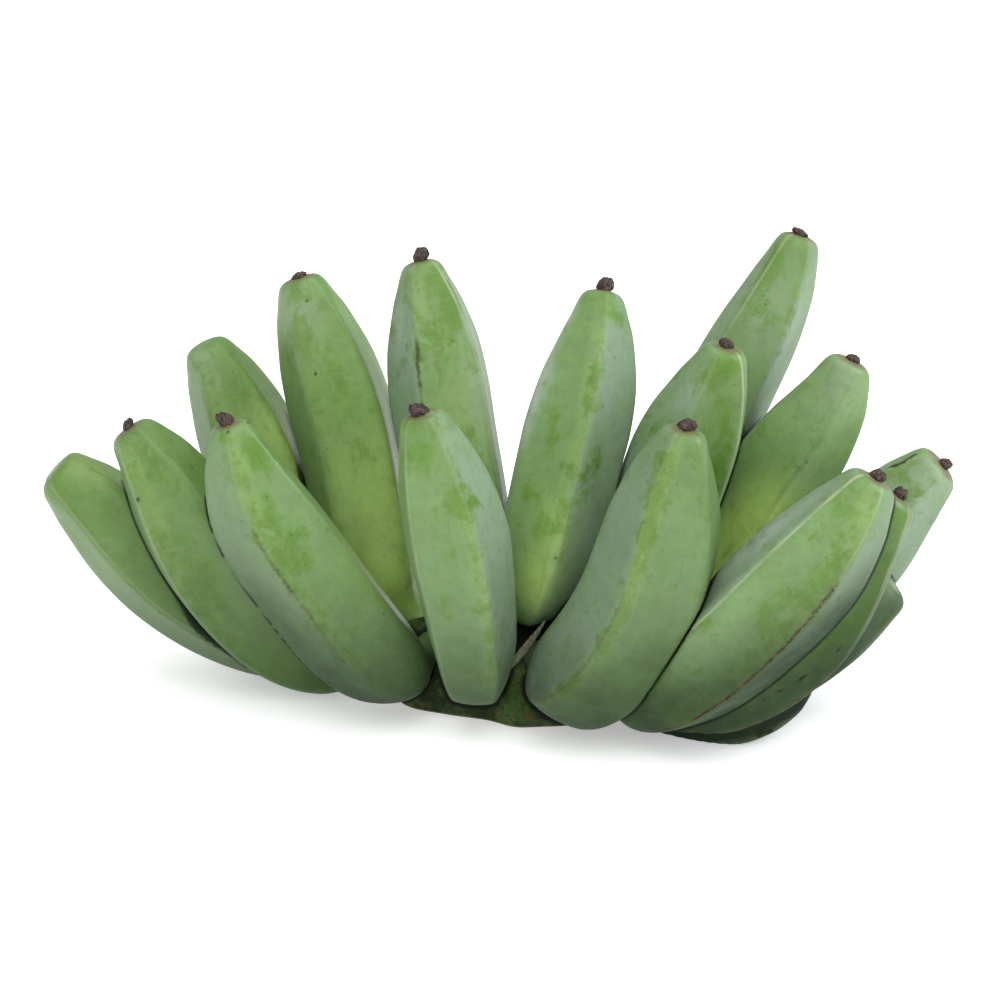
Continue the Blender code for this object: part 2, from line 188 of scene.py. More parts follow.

# Marks on the skin by finger and kind: the pixel where the camera sees it, radius in mm, strength
# Some kinds are painted light: a lighter yellow-green between the fingers and on lit tops, and a painted
# highlight in the pale colour of the wax bloom
MARKS = {
    "front_1": {
        "fresh": (
            (75, 500, 8, 0.8), (105, 512, 7, 0.9), (118, 530, 6, 0.6), (80, 545, 6, 0.8),
            (128, 575, 6, 0.5),
        ),
        "glow": ((95, 467, 9, 0.3), (115, 475, 7, 0.3),),
    },
    "front_2": {
        "fresh": (
            (182, 540, 5, 0.7), (172, 565, 7, 0.9), (200, 588, 9, 1.2), (207, 612, 7, 1.0),
            (190, 470, 6, 0.6), (150, 440, 9, 0.8), (160, 470, 9, 0.7),
        ),
        "brown": ((137, 500, 1.6, 0.9), (135, 512, 1.2, 0.8),),
    },
    "front_3": {
        "fresh": (
            (256, 447, 7, 1.0), (236, 466, 6, 0.6), (268, 520, 8, 0.6), (290, 548, 8, 0.6),
            (318, 622, 7, 1.0), (340, 648, 6, 0.8),
        ),
        "glow": ((385, 560, 14, 0.5),),
        "brown": ((249, 419, 1.0, 0.8), (228, 432, 1.6, 0.6),),
    },
    "front_4": {
        "fresh": (
            (415, 440, 9, 0.9), (425, 470, 8, 0.5), (460, 500, 8, 0.8), (445, 530, 7, 0.5),
            (452, 562, 5, 0.7), (440, 600, 5, 0.6), (425, 520, 5, 0.4),
        ),
        "brown": ((458, 604, 0.9, 0.5),),
    },
    "front_5": {
        "fresh": ((662, 455, 6, 0.9), (657, 500, 5, 1.0), (648, 545, 4, 0.9), (630, 590, 4, 0.9),),
    },
    "front_6": {
        "fresh": (
            (850, 500, 9, 0.9), (840, 545, 9, 0.6), (805, 603, 9, 0.8), (770, 620, 9, 0.7),
            (740, 560, 9, 0.4), (650, 705, 12, 0.7),
        ),
        "pale": ((735, 560, 8, 0.85), (760, 538, 8, 0.75), (800, 508, 7, 0.45),),
        "streak": ((838, 600, 1.2, 0.6),),
    },
    "front_7": {
        "fresh": ((895, 520, 10, 0.9), (880, 570, 12, 0.8), (860, 610, 12, 0.7), (820, 650, 12, 0.7),),
        "streak": (
            (838, 650, 0.9, 0.9), (816, 668, 0.7, 0.6), (803, 677, 0.9, 1.0), (780, 693, 0.9, 0.8),
            (762, 702, 0.7, 0.6),
        ),
    },
    "front_9": {
        "brown": ((762, 733, 3.0, 1.0), (770, 731, 2.0, 0.9),),
    },
    "back_1": {
        "fresh": (
            (213, 355, 7, 0.5), (236, 392, 8, 0.8), (250, 412, 8, 0.7), (208, 372, 6, 0.7),
            (262, 400, 6, 0.8), (225, 410, 5, 0.5),
        ),
        "glow": ((285, 450, 16, 0.5),),
        "pale": ((202, 365, 6, 0.35),),
    },
    "back_2": {
        "fresh": (
            (300, 295, 9, 0.8), (312, 310, 9, 0.6), (297, 340, 11, 1.0), (310, 358, 9, 0.8),
            (335, 392, 12, 1.0), (345, 415, 8, 0.6), (360, 455, 7, 0.7), (322, 300, 6, 0.7),
            (372, 340, 6, 0.5), (388, 365, 6, 0.6),
        ),
        "glow": ((355, 430, 20, 0.15), (385, 520, 24, 0.65), (395, 580, 16, 0.9),),
        "pale": ((296, 305, 9, 0.4), (292, 330, 6, 0.4),),
        "brown": ((317, 374, 0.8, 1.0),),
    },
    "back_3": {
        "fresh": ((425, 285, 9, 0.7), (452, 300, 8, 0.9), (440, 345, 8, 0.7), (470, 450, 6, 0.8),),
        "glow": ((465, 400, 18, 0.3), (415, 600, 14, 0.8),),
        "pale": ((400, 320, 5, 0.3), (462, 300, 7, 0.4), (477, 345, 8, 0.4), (483, 390, 8, 0.35),),
    },
    "back_4": {
        "fresh": ((612, 305, 6, 0.7), (560, 430, 10, 0.35), (540, 500, 12, 0.4), (585, 480, 9, 0.4),),
        "glow": ((560, 550, 14, 0.5), (540, 590, 12, 0.8), (614, 420, 9, 0.15), (608, 455, 9, 0.2),),
        "pale": (
            (563, 315, 4, 0.8), (555, 335, 4, 0.9), (547, 357, 5, 0.9), (540, 380, 5, 0.9),
            (533, 402, 4, 0.8), (526, 425, 4, 0.7), (610, 380, 9, 0.2),
        ),
    },
    "back_5": {
        "fresh": ((718, 370, 7, 0.9), (725, 420, 9, 0.7), (720, 460, 9, 0.8), (660, 440, 8, 0.5),),
        "pale": ((690, 390, 6, 0.3),),
    },
    "back_6": {
        "fresh": ((770, 265, 8, 0.7), (755, 300, 9, 0.6),),
        "pale": ((768, 310, 10, 0.2), (790, 330, 8, 0.25),),
    },
    "back_7": {
        "fresh": ((830, 385, 9, 0.7), (780, 470, 5, 0.6), (788, 505, 5, 0.7),),
        "glow": ((750, 545, 17, 1.5), (780, 515, 10, 0.7), (720, 560, 16, 1.5),),
        "pale": ((845, 372, 10, 0.3),),
    },
    "back_8": {
        "fresh": ((905, 465, 7, 0.8), (900, 520, 9, 0.7),),
        "pale": ((923, 490, 12, 0.3),),
        "streak": (
            (885, 468, 1.0, 1.0), (889, 467, 1.0, 1.0), (893, 466, 1.0, 1.0), (897, 465, 1.0, 1.0),
            (901, 463, 1.0, 1.0), (905, 461, 1.0, 1.0), (909, 458, 1.0, 1.0), (913, 456, 1.0, 1.0),
        ),
    },
}

# How much a distance along the finger counts in a mark, where one across it counts 1
MARK_STRETCH = {"fresh": 0.55, "glow": 0.6, "pale": 0.4, "brown": 1.0, "streak": 0.3}
MARK_FADE = 1.6
CROWN_MARK_FADE = 1.8

# Painted shade on each finger: all over (with some of its own darker tone), at its lower end and where it
# looks down
BASE_SHADE = {
    "front_1": 0.14, "front_2": 0.16, "front_3": 0.04, "front_5": 0.19,
    "front_7": 0.05, "front_8": 0.28, "back_1": 0.04,
}
HEEL_SHADE = {"front_1": 0.60, "front_2": 0.60, "front_4": 0.66, "front_8": 0.80, "front_9": 0.55}
DOWN_SHADE = {
    "front_1": 0.10, "front_2": 0.25, "front_3": 0.65, "front_6": 1.05,
    "front_7": 1.10, "front_8": 0.70, "front_9": 0.60,
}
FRONT_HEEL_SHADE = 0.85
FRONT_DOWN_SHADE = 0.45
BACK_DOWN_SHADE = 0.15
HEEL_HEIGHTS = (10, 84)
DOWN_HEIGHTS = (50, 130)
DARKEST = 0.97

# Painted shadow on fingers close under another one: the other one, and how far the shadow reaches in mm
UNDER = {"front_9": ("front_7", 12), "front_8": ("front_7", 8), "back_6": ("back_5", 3)}

# The painted shadow line where a finger comes out from behind another, in mm: how near they are, how far
# from the line a point with no other finger near counts as, and how much wider the line is between some
CONTACT_REACH = 11.0
CONTACT_FADE = 0.25
HIDDEN_REACH = 3
HIDDEN_SHARE = 0.5
FAR_OFF = 9.0
OUTLINE_SHARE = 0.2
WIDE_CONTACTS = {
    ("front_9", "front_7"): 4.0,
    ("front_8", "front_7"): 2.0,
    ("crown", "front_4"): 1.6,
    ("crown", "front_5"): 1.6,
}

# Brown scars along a ridge: finger, ridge (0 front right, then to the right and round), from, to, strength
RIDGE_SCARS = (
    ("back_3", 4, 0.55, 0.82, 0.9),
    ("front_6", 0, 0.22, 0.80, 1.0),
    ("front_7", 0, 0.25, 0.60, 0.9),
    ("front_3", 4, 0.40, 0.75, 0.6),
    ("front_5", 4, 0.15, 0.60, 0.35),
    ("back_7", 4, 0.60, 0.95, 0.12),
)

# Pale rims along a ridge: finger, ridge, strength, and the strength of all others
RIDGE_RIMS = (
    ("front_1", 4, 0.3),
    ("front_2", 4, 0.4),
    ("front_4", 4, 0.3),
    ("front_6", 4, 0.9),
    ("front_6", 0, 0.4),
    ("front_7", 0, 0.8),
    ("back_3", 0, 0.5),
    ("back_5", 0, 0.8),
    ("back_6", 4, 0.5),
    ("back_7", 0, 0.4),
)
OTHER_RIMS = 0.12

# The torn pale edge of a stalk that shows in front of the crown: pixel, half-width in mm
TORN_EDGE = (
    (545, 621, 0.3), (541, 627, 0.9), (536, 634, 1.3), (530, 642, 1.7),
    (523, 651, 2.0), (516, 660, 1.8), (510, 668, 0.8),
)
TORN_EDGE_PLACE = -24.0
TORN_EDGE_SIDES = 12
TORN_EDGE_ACROSS = (0.62, 0.0, -0.55)
TORN_EDGE_LIFT = (0.0, -0.4, 0.3)

# Fresh green strips beside a ridge: finger, ridge, side (-1 before, 1 after), from, to, width in mm, strength
RIDGE_STRIPS = (
    ("front_3", 4, 1, 0.30, 0.97, 8, 0.55),
    ("front_4", 0, -1, 0.20, 0.80, 5, 0.50),
    ("front_5", 4, 1, 0.42, 0.98, 6, 0.90),
    ("front_5", 4, 1, 0.10, 0.46, 4, 0.80),
    ("front_5", 4, -1, 0.12, 0.50, 3, 0.60),
    ("front_6", 0, 1, 0.10, 0.60, 2, 0.80),
    ("front_6", 0, -1, 0.25, 0.98, 10, 0.60),
    ("back_4", 0, -1, 0.35, 0.92, 7, 0.45),
    ("back_3", 4, 1, 0.50, 0.98, 6, 0.45),
    ("front_2", 4, 1, 0.40, 0.98, 10, 0.45),
    ("back_1", 4, 1, 0.55, 0.98, 10, 0.40),
)
# The strips also get this share of painted light
STRIP_PAINTED_LIGHT = 0.35
RIDGE_FRESH = 0.25

# Marks on the crown: pixel, radius in mm, kind (brown scars, and painted shade in a recess between two
# fingers), strength
CROWN_MARKS = (
    (530, 716, 3.0, "scar", 1.0),
    (541, 708, 2.0, "scar", 0.8),
    (497, 714, 2.2, "scar", 1.0),
    (485, 716, 1.8, "scar", 0.6),
    (420, 705, 2.4, "scar", 0.9),
    (431, 694, 1.8, "scar", 0.6),
    (531, 661, 2.4, "scar", 0.7),
    (524, 633, 5.0, "hole", 1.0),
    (535, 629, 4.0, "hole", 1.0),
    (519, 645, 3.5, "hole", 0.8),
)

CAMERA_HEIGHT = 18.0
CAMERA_DISTANCE = 1400.0
CAMERA_TARGET = (0.0, -6.0, 88.6)
LENS = 126.0
SENSOR = 36.0
PICTURE = 1000

# The floor glows a little, which keeps the shadow on it about as faint as the photograph shows
FLOOR_GLOW = 0.38
FLOOR_SIZE = 12.0
FLOOR_DROP = 0.0002
SKY = (0.97, 0.985, 1.0)
SKY_STRENGTH = 0.56


def spline_points(points, count):
    """Points spaced evenly along the natural cubic spline through the given ones, and its length."""
    points = np.asarray(points, float)
    knots = np.concatenate([[0.0], np.cumsum(np.linalg.norm(np.diff(points, axis=0), axis=1))])
    step = np.diff(knots)
    slope = np.diff(points, axis=0) / step[:, None]
    matrix = np.eye(len(points))
    right = np.zeros_like(points)
    for i in range(1, len(points) - 1):
        matrix[i, i - 1 : i + 2] = step[i - 1], 2 * (step[i - 1] + step[i]), step[i]
        right[i] = 6 * (slope[i] - slope[i - 1])
    bend = np.linalg.solve(matrix, right)

    def at(place):
        i = np.clip(np.searchsorted(knots, place, side="right") - 1, 0, len(step) - 1)
        size = step[i][:, None]
        ahead = (knots[i + 1] - place)[:, None]
        behind = (place - knots[i])[:, None]
        cubic = (bend[i] * ahead**3 + bend[i + 1] * behind**3) / (6 * size)
        first = (points[i] / size - bend[i] * size / 6) * ahead
        return cubic + first + (points[i + 1] / size - bend[i + 1] * size / 6) * behind

    place = np.linspace(0, knots[-1], SPLINE_STEPS)
    run = np.linalg.norm(np.diff(at(place), axis=0), axis=1)
    run = np.concatenate([[0.0], np.cumsum(run)])
    return at(np.interp(np.linspace(0, run[-1], count), run, place)), run[-1]


def spine_frames(points):
    """Directions along, towards the front and across at each point of a spine, with no twist between them."""
    along = np.gradient(points, axis=0)
    along /= np.linalg.norm(along, axis=1)[:, None]
    middle = len(points) // 2
    front = np.zeros_like(points)
    start = np.array([0.0, -1.0, 0.0])
    front[middle] = start - along[middle] * (start @ along[middle])
    front[middle] /= np.linalg.norm(front[middle])
    for i in list(range(middle + 1, len(points))) + list(range(middle - 1, -1, -1)):
        last = front[i - 1 if i > middle else i + 1]
        front[i] = last - along[i] * (last @ along[i])
        front[i] /= np.linalg.norm(front[i])
    return along, front, np.cross(along, front)


def smooth_curve(x, knots, values):
    """A curve through the values that never overshoots them."""
    knots = np.asarray(knots, float)
    values = np.asarray(values, float)
    step = np.diff(knots)
    slope = np.diff(values) / step
    tangent = np.zeros(len(knots))
    tangent[0] = slope[0]
    tangent[-1] = slope[-1]
    for i in range(1, len(knots) - 1):
        if slope[i - 1] * slope[i] > 0:
            before = 2 * step[i] + step[i - 1]
            after = step[i] + 2 * step[i - 1]
            tangent[i] = (before + after) / (before / slope[i - 1] + after / slope[i])
    i = np.clip(np.searchsorted(knots, x, side="right") - 1, 0, len(step) - 1)
    t = (x - knots[i]) / step[i]
    ends = (1 + 2 * t) * (1 - t) ** 2 * values[i] + t * t * (3 - 2 * t) * values[i + 1]
    return ends + step[i] * (t * (1 - t) ** 2 * tangent[i] + t * t * (t - 1) * tangent[i + 1])


def facet_shape(angle):
    """Distance from the middle to the side of a soft five-sided section, about 1."""
    total = np.zeros_like(angle)
    for k in range(FACETS):
        total += np.maximum(0, np.cos(angle - 2 * math.pi * k / FACETS)) ** FACET_SHARPNESS
    return total ** (-1 / FACET_SHARPNESS) / FACET_SCALE


def smooth_step(value, low, high):
    t = np.clip((value - low) / (high - low), 0, 1)
    return t * t * (3 - 2 * t)


class Finger:
    """One banana: a spine, its thickness, and the chain of balls that its neighbours keep away from."""

    def __init__(self, name, spine, girth, turn, heel_share, taper):
        self.name = name
        self.spine = spine
        self.half = girth / 2
        self.turn = math.radians(turn)
        self.heel_share = heel_share
        self.taper = taper
        self.balls, self.length = spline_points(spine, BALLS)
        self.ball_sizes = self.thickness(np.linspace(0, 1, BALLS))

    def thickness(self, place):
        share = smooth_curve(place, STATIONS, SHARES)
        share = share ** np.where(place > 0.5, self.taper, 1.0)
        heel = 1 + (self.heel_share - 1) * np.clip((0.62 - place) / 0.4, 0, 1)
        return share * heel * self.half

    def depth(self, points):
        """How far each point is outside the finger, and below 0 how far inside."""
        away = ((points[:, None, :] - self.balls[None]) ** 2).sum(2)
        score = np.sqrt(away) - self.ball_sizes[None]
        nearest = score.argmin(1)
        best = score[np.arange(len(points)), nearest]
        for step in (-1, 0):
            i = np.clip(nearest + step, 0, len(self.balls) - 2)
            start = self.balls[i]
            run = self.balls[i + 1] - start
            share = np.clip(((points - start) * run).sum(1) / (run * run).sum(1), 0, 1)
            gap = np.linalg.norm(points - start - run * share[:, None], axis=1)
            gap -= self.ball_sizes[i] * (1 - share) + self.ball_sizes[i + 1] * share
            best = np.minimum(best, gap)
        return best

    def keep_skin(self, points, outward, mesh):
        """Keeps the finished skin, and a search tree of the points on the outline that it shows."""
        self.skin = points
        self.outward = outward
        self.mesh = mesh
        normals = read_vectors(mesh, "normal")[: len(points)]
        both = np.concatenate([points, normals], axis=1).reshape(RINGS, SIDES, 6)
        both = np.concatenate([both, (both + np.roll(both, -1, axis=1)) / 2], axis=1)
        both = np.concatenate([both, (both[1:] + both[:-1]) / 2]).reshape(-1, 6)
        place, _, up = camera_axes()
        rays = both[:, :3] - place
        rays /= np.linalg.norm(rays, axis=1)[:, None]
        both = both[np.abs((rays * both[:, 3:]).sum(1)) < OUTLINE_SHARE]
        self.outline, self.far = picture_spots(both[:, :3])
        self.beyond = np.column_stack([both[:, 3], both[:, 3:] @ up])
        self.tree = kdtree.KDTree(len(both))
        for i, spot in enumerate(self.outline.tolist()):
            self.tree.insert(spot, i)
        self.tree.balance()

    def near(self, other):
        away = np.linalg.norm(self.balls[:, None] - other.balls[None], axis=2)
        return (away - self.ball_sizes[:, None] - other.ball_sizes[None]).min() < NEIGHBOUR_REACH

    def rings(self, places, sides, extra=0.0):
        """Middles, directions out and distances of each ring's points, before anything presses on them."""
        fine, length = spline_points(self.spine, SPINE_STEPS + 1)
        along, front, across = spine_frames(fine)
        bend = np.gradient(along, axis=0) / (length / SPINE_STEPS)
        spot = np.clip(places * SPINE_STEPS, 0, SPINE_STEPS)
        low = np.minimum(spot.astype(int), SPINE_STEPS - 1)
        part = (spot - low)[:, None]

        def at(values):
            return values[low] * (1 - part) + values[low + 1] * part

        angle = np.linspace(0, 2 * math.pi, sides, endpoint=False)
        soft = np.clip(places / 0.3, 0, 1) * np.clip((1 - places) / 0.10, 0.15, 1)
        turned = angle + self.turn
        out = np.cos(turned)[None, :, None] * at(front)[:, None, :]
        out = out + np.sin(turned)[None, :, None] * at(across)[:, None, :]
        reach = self.thickness(places)[:, None] * (1 + (facet_shape(angle)[None, :] - 1) * soft[:, None])
        inside = np.maximum((at(bend)[:, None, :] * out).sum(2), 1e-6)
        reach = np.minimum(reach, SMALLEST_BEND_SHARE / inside) + extra
        middle = np.repeat(at(fine)[:, None, :], sides, 1)
        return middle, out, reach, at(along)


def picture_spots(points):
    """Where the camera sees each point, in mm at the distance of the hand, and how far away the point is."""
    place, ahead, up = camera_axes()
    away = points - place
    far = away @ ahead
    share = CAMERA_DISTANCE / far
    return np.column_stack([away[:, 0] * share, (away @ up) * share, 0 * far]), far


def contact_distance(name, points, outward, fingers):
    """How far each point shows outside the outline of a finger close in front of it, in mm, for the painted
    shadow line.
    """
    spots, far = picture_spots(points)
    rays = points - camera_axes()[0]
    facing = (rays * outward).sum(1) < 0
    least = np.full(len(points), FAR_OFF)
    for other in fingers:
        if other.name == name:
            continue
        off = other.depth(points)
        which = np.flatnonzero(facing & (off < 2 * CONTACT_REACH))
        found = [other.tree.find(spot) for spot in spots[which].tolist()]
        if not found:
            continue
        nearest = np.array([hit[1] for hit in found])
        gap = np.array([hit[2] for hit in found])
        hidden = ((spots[which, :2] - other.outline[nearest, :2]) * other.beyond[nearest]).sum(1) < 0
        inner = HIDDEN_SHARE * gap + CONTACT_FADE * np.maximum(0, off[which] - HIDDEN_REACH)
        gap = np.where(hidden, inner, gap) / WIDE_CONTACTS.get((name, other.name), 1.0)
        gap = gap + CONTACT_FADE * np.maximum(0, off[which] - CONTACT_REACH)
        behind = far[which] > other.far[nearest] - 1.0
        least[which] = np.where(behind, np.minimum(least[which], gap), least[which])
    return least


def ring_places(count):
    """Places of the rings from 0 to 1, closer together at both ends."""
    even = np.linspace(0, 1, count)
    return 0.5 * even + 0.25 * (1 - np.cos(math.pi * even))


def pressed(finger, others, middle, out, reach):
    """Draws the points in, with a soft crease, where the table or a neighbour presses on the finger, and the
    crease's painted shade.
    """
    middle = middle.reshape(-1, 3)
    out = out.reshape(-1, 3)
    reach = reach.reshape(-1)
    far = reach + CREASE_REACH
    points = middle + out * far[:, None]
    rough = np.full(len(points), np.inf)
    for other in others:
        rough = np.minimum(rough, other.depth(points))
    asked = (finger.depth(points) + GAP > rough) | (points[:, 2] < 0)
    low = np.where(asked, 0.0, far)
    high = far.copy()
    for _ in range(PRESS_HALVINGS):
        half = ((low + high) / 2)[asked]
        points = middle[asked] + out[asked] * half[:, None]
        room = np.full(len(points), np.inf)
        for other in others:
            room = np.minimum(room, other.depth(points))
        good = (finger.depth(points) + GAP <= room) & (points[:, 2] >= 0)
        low[asked] = np.where(good, half, low[asked])
        high[asked] = np.where(good, high[asked], half)
    least = np.minimum(reach, low)
    most = np.maximum(reach, low)
    soft = least - PRESS_SOFTNESS * np.log1p(np.exp(-(most - least) / PRESS_SOFTNESS))
    soft = np.where(low < far, np.maximum(soft, 0.05), reach)
    return middle + out * soft[:, None], smooth_step(reach - low, -CREASE_SHADE, 0.4) * asked


def loft_mesh(name, rings):
    """A closed mesh through rings of points in millimetres, with a point in the middle of each end."""
    count, sides = rings.shape[:2]
    points = list(rings.reshape(-1, 3) * MM)
    faces = []
    for i in range(count - 1):
        for j in range(sides):
            after = (j + 1) % sides
            faces.append((i * sides + j, i * sides + after, (i + 1) * sides + after, (i + 1) * sides + j))
    for ring, turned in ((0, True), (count - 1, False)):
        points.append(rings[ring].mean(axis=0) * MM)
        for j in range(sides):
            pair = (ring * sides + j, ring * sides + (j + 1) % sides)
            faces.append((pair[1], pair[0], len(points) - 1) if turned else (*pair, len(points) - 1))
    mesh = bpy.data.meshes.new(name)
    mesh.from_pydata([tuple(point) for point in points], [], faces)
    mesh.update()
    return mesh


def add_object(name, data):
    made = bpy.data.objects.new(name, data)
    bpy.context.scene.collection.objects.link(made)
    return made


def add_piece(name, mesh, material, nodes=()):
    """Puts a mesh in the scene with its material, in the place of the model's nodes that it replaces."""
    piece = add_object(name, mesh)
    mesh.materials.append(material)
    mesh.shade_smooth()
    if nodes:
        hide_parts(*nodes)
    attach(piece, "root")
    return piece


def add_layer(mesh, name, values):
    """Writes a number for each point of a mesh."""
    layer = mesh.attributes.new(name, "FLOAT", "POINT")
    layer.data.foreach_set("value", np.asarray(values, float).astype(np.float32))


def add_values(mesh, name, values, ends):
    """Writes a number for each point of a loft, with one more for the point in the middle of each end."""
    add_layer(mesh, name, np.concatenate([np.asarray(values, float).reshape(-1), ends]))


def read_vectors(mesh, kind):
    """The place or the normal of each point of a mesh, one to a row."""
    values = np.zeros(len(mesh.vertices) * 3)
    mesh.vertices.foreach_get(kind, values)
    return values.reshape(-1, 3)


def keep_in_box(mesh):
    """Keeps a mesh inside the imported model's box."""
    points = np.clip(read_vectors(mesh, "co"), np.array(CAD_BOX[0]), np.array(CAD_BOX[1]))
    mesh.vertices.foreach_set("co", points.reshape(-1))
    mesh.update()


# Camera


def camera_axes():
    tilt = math.radians(CAMERA_HEIGHT)
    ahead = np.array([0.0, math.cos(tilt), -math.sin(tilt)])
    up = np.array([0.0, math.sin(tilt), math.cos(tilt)])
    place = np.array(CAMERA_TARGET) - ahead * CAMERA_DISTANCE
    return place, ahead, up


def pixel_ray(x, y):
    """Where the camera is, in millimetres, and the direction in which it sees a pixel."""
    place, ahead, up = camera_axes()
    scale = SENSOR / LENS / PICTURE
    ray = ahead + np.array([1.0, 0.0, 0.0]) * (x - PICTURE / 2) * scale + up * (PICTURE / 2 - y) * scale
    return place, ray / np.linalg.norm(ray)


def aim(thing, direction):
    """Turns a camera or a light to look along a direction."""
    thing.rotation_euler = Vector(direction).to_track_quat("-Z", "Y").to_euler()


def add_camera():
    data = bpy.data.cameras.new("camera")
    data.lens = LENS
    data.sensor_width = SENSOR
    data.sensor_fit = "HORIZONTAL"
    data.clip_end = 50
    camera = add_object("camera", data)
    place, ahead, _ = camera_axes()
    camera.location = Vector(place * MM)
    aim(camera, ahead)
    bpy.context.scene.camera = camera


# Materials


class Look:
    """A material under construction, with short names for the nodes that it uses."""

    def __init__(self, name):
        self.material = bpy.data.materials.new(name)
        self.material.use_nodes = True
        self.tree = self.material.node_tree
        self.shader = self.tree.nodes["Principled BSDF"]

    def node(self, kind, inputs=(), **settings):
        made = self.tree.nodes.new(kind)
        for key, value in settings.items():
            setattr(made, key, value)
        for key, value in dict(inputs).items():
            self.feed(made.inputs[key], value)
        return made

    def feed(self, socket, value):
        if isinstance(value, bpy.types.NodeSocket):
            self.tree.links.new(value, socket)
        elif value is not None:
            socket.default_value = value

    def value(self, name):
        return self.node("ShaderNodeAttribute", attribute_name=name).outputs["Fac"]

    def place(self):
        return self.node("ShaderNodeTexCoord").outputs["Object"]

    def stretch(self, vector, scale):
        return self.node("ShaderNodeMapping", {"Vector": vector, "Scale": scale}).outputs["Vector"]

    def noise(self, vector, scale, detail=3.0, rough=0.5, twist=0.0):
        inputs = {"Vector": vector, "Scale": scale, "Detail": detail, "Roughness": rough, "Distortion": twist}
        return self.node("ShaderNodeTexNoise", inputs).outputs["Fac"]

    def math(self, operation, first, second):
        return self.node("ShaderNodeMath", {0: first, 1: second}, operation=operation).outputs[0]

    def times(self, first, second):
        return self.math("MULTIPLY", first, second)

    def plus(self, first, second):
        return self.math("ADD", first, second)

    def step(self, value, low, high, start=0.0, end=1.0):
        inputs = {"Value": value, "From Min": low, "From Max": high, "To Min": start, "To Max": end}
        made = self.node("ShaderNodeMapRange", inputs, interpolation_type="SMOOTHSTEP")
        return made.outputs[0]

    def mix(self, share, first, second):
        made = self.node("ShaderNodeMix", data_type="RGBA")
        self.feed(made.inputs[0], share)
        self.feed(made.inputs[6], first if isinstance(first, bpy.types.NodeSocket) else (*first, 1))
        self.feed(made.inputs[7], second if isinstance(second, bpy.types.NodeSocket) else (*second, 1))
        return made.outputs[2]

    def bump(self, height, strength, distance):
        inputs = {"Height": height, "Strength": strength, "Distance": distance}
        return self.node("ShaderNodeBump", inputs).outputs["Normal"]

    def finish(self, colour, roughness, normal):
        self.feed(self.shader.inputs["Base Color"], colour)
        self.feed(self.shader.inputs["Roughness"], roughness)
        self.feed(self.shader.inputs["Normal"], normal)
        return self.material


LEAF = (0.115, 0.225, 0.036)
PALE_LEAF = (0.160, 0.285, 0.075)
FRESH = (0.094, 0.200, 0.018)
# Painted light, and a painted highlight in the pale colour of the wax bloom
PAINTED_LIGHT_TINT = (0.440, 0.640, 0.150)
PALE_HIGHLIGHT = (0.400, 0.460, 0.390)
OLD_SCAR = (0.075, 0.062, 0.018)
BLOOM = (0.260, 0.335, 0.270)
# Deep green of the mottling, also used as painted shade
DEEP_GREEN_AND_SHADE = (0.026, 0.042, 0.022)
# Near black for painted crease shade and painted shadow lines
CONTACT_SHADE = (0.012, 0.020, 0.010)
RIM = (0.360, 0.410, 0.230)
SCAR = (0.017, 0.014, 0.005)
SPECK = (0.030, 0.055, 0.014)
RING = (0.150, 0.105, 0.055)
FIBRE_DARK = (0.018, 0.011, 0.010)
FIBRE = (0.100, 0.060, 0.045)
FIBRE_EDGE = (0.230, 0.150, 0.100)
FIBRE_BASE = (0.200, 0.150, 0.080)
RIND_DARK = (0.010, 0.022, 0.004)
RIND = (0.032, 0.066, 0.010)
RIND_LIGHT = (0.060, 0.112, 0.022)
RIND_BROWN = (0.012, 0.010, 0.004)
RIND_SCAR = (0.085, 0.048, 0.018)
# Near black for painted shade in a recess and painted shadow lines
PAINTED_RIND_SHADE = (0.004, 0.005, 0.003)
CUT_FACE = (0.190, 0.150, 0.090)
TORN_DARK = (0.100, 0.115, 0.050)
TORN_LIGHT = (0.230, 0.235, 0.130)


